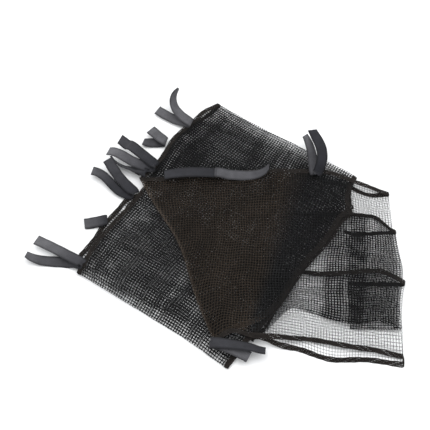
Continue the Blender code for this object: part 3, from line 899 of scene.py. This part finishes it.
# Yarn colour along the strip: 0 black, 0.45 dark grey, 0.8 brown, 1 pale. It is partly the yarn's own black-brown and
# partly painted light and shade: P2 is painted darker as painted shade of the deep stack it lies on, the top layer
# over the packet brighter and browner as painted light, a pale painted highlight runs along the oblique fold, and the
# top layer is darker towards the packet's edge.
BROWN_AND_PAINTED_LIGHT = [
    (0.00, 0.45),
    (0.80, 0.45),
    (0.90, 0.15),
    (1.200, 0.15),
    (1.209, 1.00),
    (1.217, 1.00),
    (1.223, 0.80),
    (1.410, 0.80),
    (1.475, 0.28),
    (1.510, 0.28),
    (1.530, 0.42),
    (2.460, 0.42),
]


PACKET_EDGE = (1.510, 0.52)  # in the top layer: at mid-width, and its lean


def level_with_fold(s, t):
    """Place along the strip, with the oblique fold and the packet's edge squared."""
    lean = t - WIDTH / 2
    knots = [
        (0.85, 0.85),
        (START["P1"], START["P1"] + SLANT["P2"] * lean),
        (PACKET_EDGE[0], PACKET_EDGE[0] + PACKET_EDGE[1] * lean),
        (START["P5"], START["P5"]),
    ]
    out = np.array(s, float)
    for (q0, s0), (q1, s1) in zip(knots[:-1], knots[1:]):
        out = np.where((s >= s0) & (s < s1), q0 + (s - s0) * (q1 - q0) / (s1 - s0), out)
    return out


def fullness(s, t):
    full = np.interp(level_with_fold(s, t), *np.array(FULLNESS).T)
    on_flap = smooth(s, 2.03, 2.06) * (1 - smooth(t, FLAP[0], FLAP[0] + 0.015))
    return full + (FLAP[1] - full) * on_flap


def opened(points):
    """Share of the yarn left where a slit opens."""
    left = np.ones(len(points))
    for x, y, long, cross, way in SLITS:
        dx, dy = points[:, 0] - x, points[:, 1] - y
        u = (dx * cos(way) + dy * sin(way)) / long
        v = (dy * cos(way) - dx * sin(way)) / cross
        left *= 1 - 0.88 * np.exp(-((u * u + v * v) ** 2))
    return left


def crossings():
    """Where the yarns cross: an even grid, drawn about a little."""
    rng = np.random.default_rng(11)
    s = (np.arange(ROWS_ALONG) + 0.5) * PITCH_ALONG
    t = FIRST_ACROSS + np.arange(ROWS_ACROSS) * PITCH_ACROSS
    s, t = np.meshgrid(s, t, indexing="ij")
    inside = smooth(t, 0.006, 0.05) * smooth(WIDTH - t, 0.006, 0.05)
    ds = 0.0016 * np.sin(2 * pi * (t / 0.21 + s / 1.30)) + 0.0011 * np.sin(
        2 * pi * (t / 0.083 - s / 0.47) + 1.0
    )
    dt = 0.0012 * np.sin(2 * pi * (s / 0.17 + t / 0.60)) + 0.0008 * np.sin(
        2 * pi * (s / 0.061 + t / 0.33) + 2.0
    )
    ds = ds + rng.normal(0, 0.00028, s.shape)
    dt = (dt + rng.normal(0, 0.00024, s.shape)) * np.maximum(inside, 0.12)
    return np.clip(s + ds, 0.0004, LENGTH - 0.0004), t + dt


def closer(points):
    """Places along each line of points, with more of them where it turns."""
    way = np.diff(points, axis=1)
    way /= np.maximum(np.linalg.norm(way, axis=2, keepdims=True), 1e-9)
    bend = np.arccos(np.clip((way[:, 1:] * way[:, :-1]).sum(2), -1, 1))
    out = []
    for angles in bend:
        sharp = np.zeros(len(angles) + 1)
        np.maximum.at(sharp, np.arange(len(angles)), angles)
        np.maximum.at(sharp, np.arange(len(angles)) + 1, angles)
        places = [np.array([0.0])]
        for k, angle in enumerate(sharp):
            parts = 1 if angle < 0.16 else 2 if angle < 0.34 else 4 if angle < 0.7 else 8
            places.append(k + np.arange(1, parts + 1) / parts)
        out.append(np.concatenate(places))
    return out


def weave(cuts):
    """The yarns both ways, in pieces between the cuts along the strip."""
    s, t = crossings()
    grid = strip_point(s, t)
    rows = np.arange(ROWS_ALONG)
    made = [Tubes(4) for _ in range(len(cuts) - 1)]
    rng = np.random.default_rng(5)

    def lay(lines_s, lines_t, lines_points, sign=1):
        places = closer(lines_points)
        all_s, all_t = [], []
        for line, place in enumerate(places):
            index = np.arange(lines_s.shape[1])
            all_s.append(np.interp(place, index, lines_s[line]))
            all_t.append(np.interp(place, index, lines_t[line]))
        sizes = [len(x) for x in all_s]
        at, normal = strip_frame(np.concatenate(all_s), np.concatenate(all_t))
        at, normal = np.split(at, np.cumsum(sizes)[:-1]), np.split(normal, np.cumsum(sizes)[:-1])
        for line, place in enumerate(places):
            thick = fullness(all_s[line], all_t[line]) * PITCH_ALONG
            thick = thick * opened(at[line])
            over = sign * (-1) ** line * np.cos(pi * place) * WEAVE * thick
            vary = 1 + 0.06 * np.interp(
                place, np.arange(lines_s.shape[1] + 1), rng.normal(0, 1, lines_s.shape[1] + 1)
            )
            path = at[line] + normal[line] * over[:, None]
            # the yarn's tone by place: partly its own colour, partly painted light and shade by layer
            tone = np.interp(level_with_fold(all_s[line], all_t[line]), *np.array(BROWN_AND_PAINTED_LIGHT).T)
            yield line, tone, place, path, normal[line], thick / 2 * vary

    # lengthwise yarns, cut between the pieces
    for _, tone, place, path, normal, radius in lay(s.T, t.T, grid.transpose(1, 0, 2)):
        for n in range(len(cuts) - 1):
            pick = np.flatnonzero((place >= cuts[n] - 1e-6) & (place <= cuts[n + 1] + 1e-6))
            if len(pick) > 1:
                made[n].add(path[pick], normal[pick], radius[pick], FLAT, tone[pick])
    # crosswise yarns, carried into the hems
    edge_t = np.concatenate(
        [np.full((ROWS_ALONG, 1), 0.0035), t, np.full((ROWS_ALONG, 1), WIDTH - 0.0035)], 1
    )
    edge_s = np.concatenate([s[:, :1], s, s[:, -1:]], 1)
    points = strip_point(edge_s, edge_t)
    for line, tone, place, path, normal, radius in lay(edge_s, edge_t, points, -1):
        for n in range(len(cuts) - 1):
            last = n == len(cuts) - 2
            if cuts[n] <= line < cuts[n + 1] or (last and line == cuts[n + 1]):
                made[n].add(path, normal, radius, FLAT, tone)
    return made


# --------------------------------------------------------------- the hems
CORDS = (0.0004, 0.0031, 0.0058, 0.0085)  # from the edge
CORD = 0.00146  # radius
CHAIN = 0.0045  # one stitch
LACE = 0.0061  # the lacing yarn's zigzag
# Where the lower hem is paler, at the start of the top layer.
PALE = [(1.205, 0.0), (1.222, 1.0), (1.290, 0.7), (1.330, 0.0)]


def hem(side):
    """Lengthwise knitted cords along an edge, with a yarn laced over them."""
    made = Tubes(4)
    s = np.arange(0.0006, LENGTH - 0.0005, 0.0015)
    for k, inward in enumerate(CORDS):
        sway = 0.00035 * np.sin(2 * pi * s / 0.047 + k) + 0.00025 * np.sin(2 * pi * s / 0.019 + 2 * k)
        t = inward + sway
        t = WIDTH - t if side else t
        at, normal = strip_frame(s, t)
        bump = 1 + 0.16 * np.cos(2 * pi * (s / CHAIN + 0.5 * k))
        pale = 0 * s if side else np.interp(s, *np.array(PALE).T)
        made.add(at, normal, CORD * bump, 0.8, pale)
    s = np.arange(0.001, LENGTH - 0.001, LACE / 4)
    swing = 2 / pi * np.arcsin(np.sin(2 * pi * s / LACE))
    t = (CORDS[0] + CORDS[-1]) / 2 + swing * (CORDS[-1] - CORDS[0]) / 2
    t = WIDTH - t if side else t
    at, normal = strip_frame(s, t)
    made.add(at + normal * 0.0012, normal, 0.00050)
    return made


# --------------------------------------------------------------- the tapes
STEP = 0.0007  # between rows of a tape
RIB = 0.0028
# tone of each tail, 0 charcoal to 1 grey: at its seam, its middle and its end; strap 9's second tail is painted near
# black, painted shade of its shadowed inner face
TONES = {
    1: ((0.25, 0.62, 0.90), (0.18, 0.40, 0.70)),
    2: ((0.10, 0.50, 0.65), (0.09, 0.50, 0.62)),
    3: ((0.05, 0.10, 0.60), (0.05, 0.22, 0.35)),
    4: ((0.05, 0.22, 0.40), (0.05, 0.52, 0.92)),
    5: ((0.08, 0.22, 0.35), (0.05, 0.08, 0.10)),
    6: ((0.10, 0.35, 0.50), (0.70, 0.72, 0.75)),
    7: ((0.72, 0.60, 0.50), (0.60, 0.66, 0.78)),
    8: ((0.08, 0.14, 0.18), (0.58, 0.58, 0.38)),
    # strap 9's second tail: near black as painted shade, the shadowed inside of the twisted tape laid over its whole
    # length
    9: ((0.48, 0.40, 0.74), (0.00, 0.03, 0.08)),
    10: ((0.22, 0.60, 0.68), (0.20, 0.17, 0.15)),
}


def through(points, at):
    """A smooth curve through points, at places counted in points."""
    n = len(points)
    i = np.clip(np.floor(at).astype(int), 0, n - 2)
    f = (at - i)[:, None]
    gap = np.linalg.norm(np.diff(points.reshape(n, -1)[:, :3], axis=0), axis=1)
    gap = np.maximum(gap, 1e-6)
    flat = points.reshape(n, -1)
    slope = np.zeros_like(flat)
    chord = np.diff(flat, axis=0) / gap[:, None]
    slope[0], slope[-1] = chord[0], chord[-1]
    a, b = gap[:-1, None], gap[1:, None]
    slope[1:-1] = (chord[:-1] * b + chord[1:] * a) / (a + b)
    h = gap[i][:, None]
    out = (
        (2 * f**3 - 3 * f**2 + 1) * flat[i]
        + (f**3 - 2 * f**2 + f) * h * slope[i]
        + (3 * f**2 - 2 * f**3) * flat[i + 1]
        + (f**3 - f**2) * h * slope[i + 1]
    )
    return out.reshape(len(at), *points.shape[1:])


def tape_rows(number):
    """The tape's middle line, way across and normal, every STEP, and the seam."""
    edges = strap(number)
    middle = edges.mean(axis=1)
    across = edges[:, 1] - edges[:, 0]
    across /= np.linalg.norm(across, axis=1, keepdims=True)
    fine = np.linspace(0, len(middle) - 1, 40 * len(middle))
    line = through(middle, fine)
    run = np.concatenate([[0], np.cumsum(np.linalg.norm(np.diff(line, axis=0), axis=1))])
    seam = np.interp((len(middle) - 1) / 2, fine, run)
    count = int(round(run[-1] / STEP))
    at = np.interp(np.linspace(0, run[-1], count + 1), run, fine)
    line = through(middle, at)
    over = np.stack([np.interp(at, np.arange(len(across)), across[:, k]) for k in range(3)], 1)
    way = np.gradient(line, axis=0)
    way /= np.linalg.norm(way, axis=1, keepdims=True)
    over -= (over * way).sum(1, keepdims=True) * way
    over /= np.linalg.norm(over, axis=1, keepdims=True)
    up = np.cross(way, over)
    return line, over, up, np.linspace(0, run[-1], count + 1), seam


PROFILE = [
    # place across, half-widths; share of the half-thickness
    (-1.00, 0.35),
    (-0.97, 0.50),
    (-0.87, 0.52),
    (-0.82, 0.92),
    (-0.55, 1.00),
    (-0.28, 1.00),
    (0.00, 1.00),
    (0.28, 1.00),
    (0.55, 1.00),
    (0.82, 0.92),
    (0.87, 0.52),
    (0.97, 0.50),
    (1.00, 0.35),
]


def tape_piece(number, coat):
    line, over, up, run, seam = tape_rows(number)
    rng = np.random.default_rng(100 + number)
    n = len(line)
    x = np.array([p[0] for p in PROFILE])
    high = np.array([p[1] for p in PROFILE])
    half = TAPE_WIDTH / 2 * (1 + 0.012 * np.sin(2 * pi * run / 0.031 + number))
    ends_in = np.minimum(run, run[-1] - run)
    thick = 0.00085 * (0.55 + 0.45 * smooth(ends_in, 0.0, 0.0020))
    overlap = smooth(0.0065 - np.abs(run - seam), 0.0, 0.0012)
    thick = thick + 0.00022 * overlap
    tones = TONES[number]
    places = [0, seam / 2, seam - 0.004, seam + 0.004, (seam + run[-1]) / 2, run[-1]]
    tone = np.interp(run, places, [*tones[0][::-1], *tones[1]])
    ribbed = np.cos(2 * pi * run / RIB)
    pale = smooth(tone, 0.15, 0.45)
    relief_up = ribbed[:, None] * (0.00010 * pale)[:, None] * (high > 0.9)[None]
    fuzz = rng.normal(0, 0.00005, (n, len(x))) * (high > 0.9)[None]
    top = thick[:, None] * high[None] + relief_up + fuzz
    low = thick[:, None] * high[None] - relief_up * 0.5
    sides = [(x, top), (x[::-1], -low[:, ::-1])]
    points = np.concatenate(
        [
            line[:, None]
            + over[:, None] * (half[:, None] * place[None])[..., None]
            + up[:, None] * tall[..., None]
            for place, tall in sides
        ],
        1,
    )
    k = points.shape[1]
    points[..., 2] = np.maximum(points[..., 2], FLOOR_GAP)
    i = np.arange(n - 1)[:, None] * k
    j = np.arange(k)[None, :]
    faces = np.stack([i + j, i + k + j, i + k + (j + 1) % k, i + (j + 1) % k], -1)
    faces = faces.reshape(-1, 4).tolist()
    # the map: the length in four stacked bands
    bands = 4
    u = np.arange(n) / (n - 1) * bands
    band = np.minimum(np.floor(u), bands - 1)[:-1]
    girth = np.arange(k + 1) / k
    def spot(u_at, v_at):
        return np.stack([(u_at - band)[:, None] + 0 * v_at, (band[:, None] + 0.03 + 0.94 * v_at) / bands], -1)
    uvs = np.stack(
        [
            spot(u[:-1], girth[None, :-1]),
            spot(u[1:], girth[None, :-1]),
            spot(u[1:], girth[None, 1:]),
            spot(u[:-1], girth[None, 1:]),
        ],
        2,
    ).reshape(-1, 2)
    faces.append(list(range(k)))
    faces.append([(n - 1) * k + j for j in range(k)][::-1])
    caps = np.tile(np.array([[0.5, 0.002]]), (2 * k, 1))
    uvs = np.concatenate([uvs, caps])
    across = np.abs(np.concatenate([x, x[::-1]]))
    marks = {
        "tone": np.repeat(tone, k),
        "edge": np.tile(across, n) * 0.9 + 0.1 * np.repeat(1 - smooth(ends_in, 0, 0.001), k),
        "rib": np.repeat(0.5 + 0.5 * ribbed * pale, k),
    }
    return mesh_piece(f"tape_{number}", points.reshape(-1, 3) + SHIFT, faces, coat, uvs, marks)


def seam_stitches(number, coat):
    """Rows of thread across the tape where its halves are sewn to the hem."""
    line, over, up, run, seam = tape_rows(number)
    made = Tubes(4)
    for row in (-0.0052, -0.0036, 0.0036, 0.0052):
        at = int(np.argmin(np.abs(run - (seam + row))))
        for place in np.linspace(-0.78, 0.78, 7):
            u = np.linspace(-1, 1, 5)
            x = (place + 0.105 * u) * TAPE_WIDTH / 2
            for face in (1, -1):
                z = face * (0.00112 + 0.00028 * (1 - u * u))
                path = line[at] + over[at] * x[:, None] + up[at] * z[:, None]
                made.add(path, np.tile(up[at] * face, (5, 1)), 0.00030)
    return made.piece(f"thread_{number}", coat)


# ----------------------------------------------------------------- making
net_coat, edge_coat, tape, thread = yarn_coat(), hem_coat(), tape_coat(), thread_coat()

CUTS = (0, 142, 284, ROWS_ALONG - 1)
PARTS = ("packet", "top", "tail")
for side, name in ((0, "hem_lower"), (1, "hem_upper")):
    made = hem(side)
    piece = made.piece(name, edge_coat)
    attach(piece, "root")
    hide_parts("net")
    print(name, made.triangles())

for n, made in enumerate(weave(CUTS)):
    piece = made.piece(f"mesh_{PARTS[n]}", net_coat)
    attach(piece, "root")
    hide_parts("net")
    rows = (np.arange(CUTS[n], CUTS[n + 1]) + 0.5) * PITCH_ALONG
    share = min(1.0, max(0.3, 2.40 * float(fullness(rows, WIDTH / 2).mean())))
    print(piece.name, made.triangles())

for number in sorted({row[0] for row in TAILS}):
    piece = tape_piece(number, tape)
    sewn = seam_stitches(number, thread)
    for part in (piece, sewn):
        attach(part, "root")
        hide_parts(f"strap_{number}")
    length = tape_rows(number)[3][-1]

# ------------------------------------------------------ floor, light, view
mesh = bpy.data.meshes.new("floor")
mesh.from_pydata([(-9, -9, 0), (9, -9, 0), (9, 9, 0), (-9, 9, 0)], [], [(0, 1, 2, 3)])
mesh.materials.append(floor_coat())
floor = bpy.data.objects.new("floor", mesh)
bpy.context.scene.collection.objects.link(floor)
floor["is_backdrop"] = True

world = bpy.data.worlds.new("studio")
bpy.context.scene.world = world
world.use_nodes = True
sky = world.node_tree.nodes["Background"]
sky.inputs["Color"].default_value = (0.97, 0.985, 1.0, 1)
sky.inputs["Strength"].default_value = 1.05


def lamp(name, where, target, size, power, colour=(1, 1, 1)):
    light = bpy.data.lights.new(name, "AREA")
    light.shape = "SQUARE"
    light.size, light.energy, light.color = size, power, colour
    thing = bpy.data.objects.new(name, light)
    bpy.context.scene.collection.objects.link(thing)
    thing.location = where
    way = np.array(target, float) - np.array(where, float)
    level = float(np.hypot(way[0], way[1]))
    thing.rotation_euler = (
        np.arctan2(level, -way[2]),
        0.0,
        np.arctan2(way[1], way[0]) - pi / 2,
    )


lamp("key", (-0.7, 0.5, 2.9), (0, 0, 0), 2.6, 40.0)
lamp("fill", (1.4, 0.2, 2.4), (0, 0, 0), 1.6, 14.0)

view = bpy.data.cameras.new("camera")
view.lens, view.sensor_width = 72.08, 36.0
view.clip_start, view.clip_end = 0.05, 60
eye = bpy.data.objects.new("camera", view)
bpy.context.scene.collection.objects.link(eye)
eye.location = (SHIFT[0], SHIFT[1] - 1.0, 1.7320508)
eye.rotation_euler = (radians(30), 0, 0)
bpy.context.scene.camera = eye
bpy.context.scene.view_settings.view_transform = "Standard"
bpy.context.scene.view_settings.look = "None"

boxes = [[[float(x) for x in corner] for corner in box] for box in (cad_box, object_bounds())]
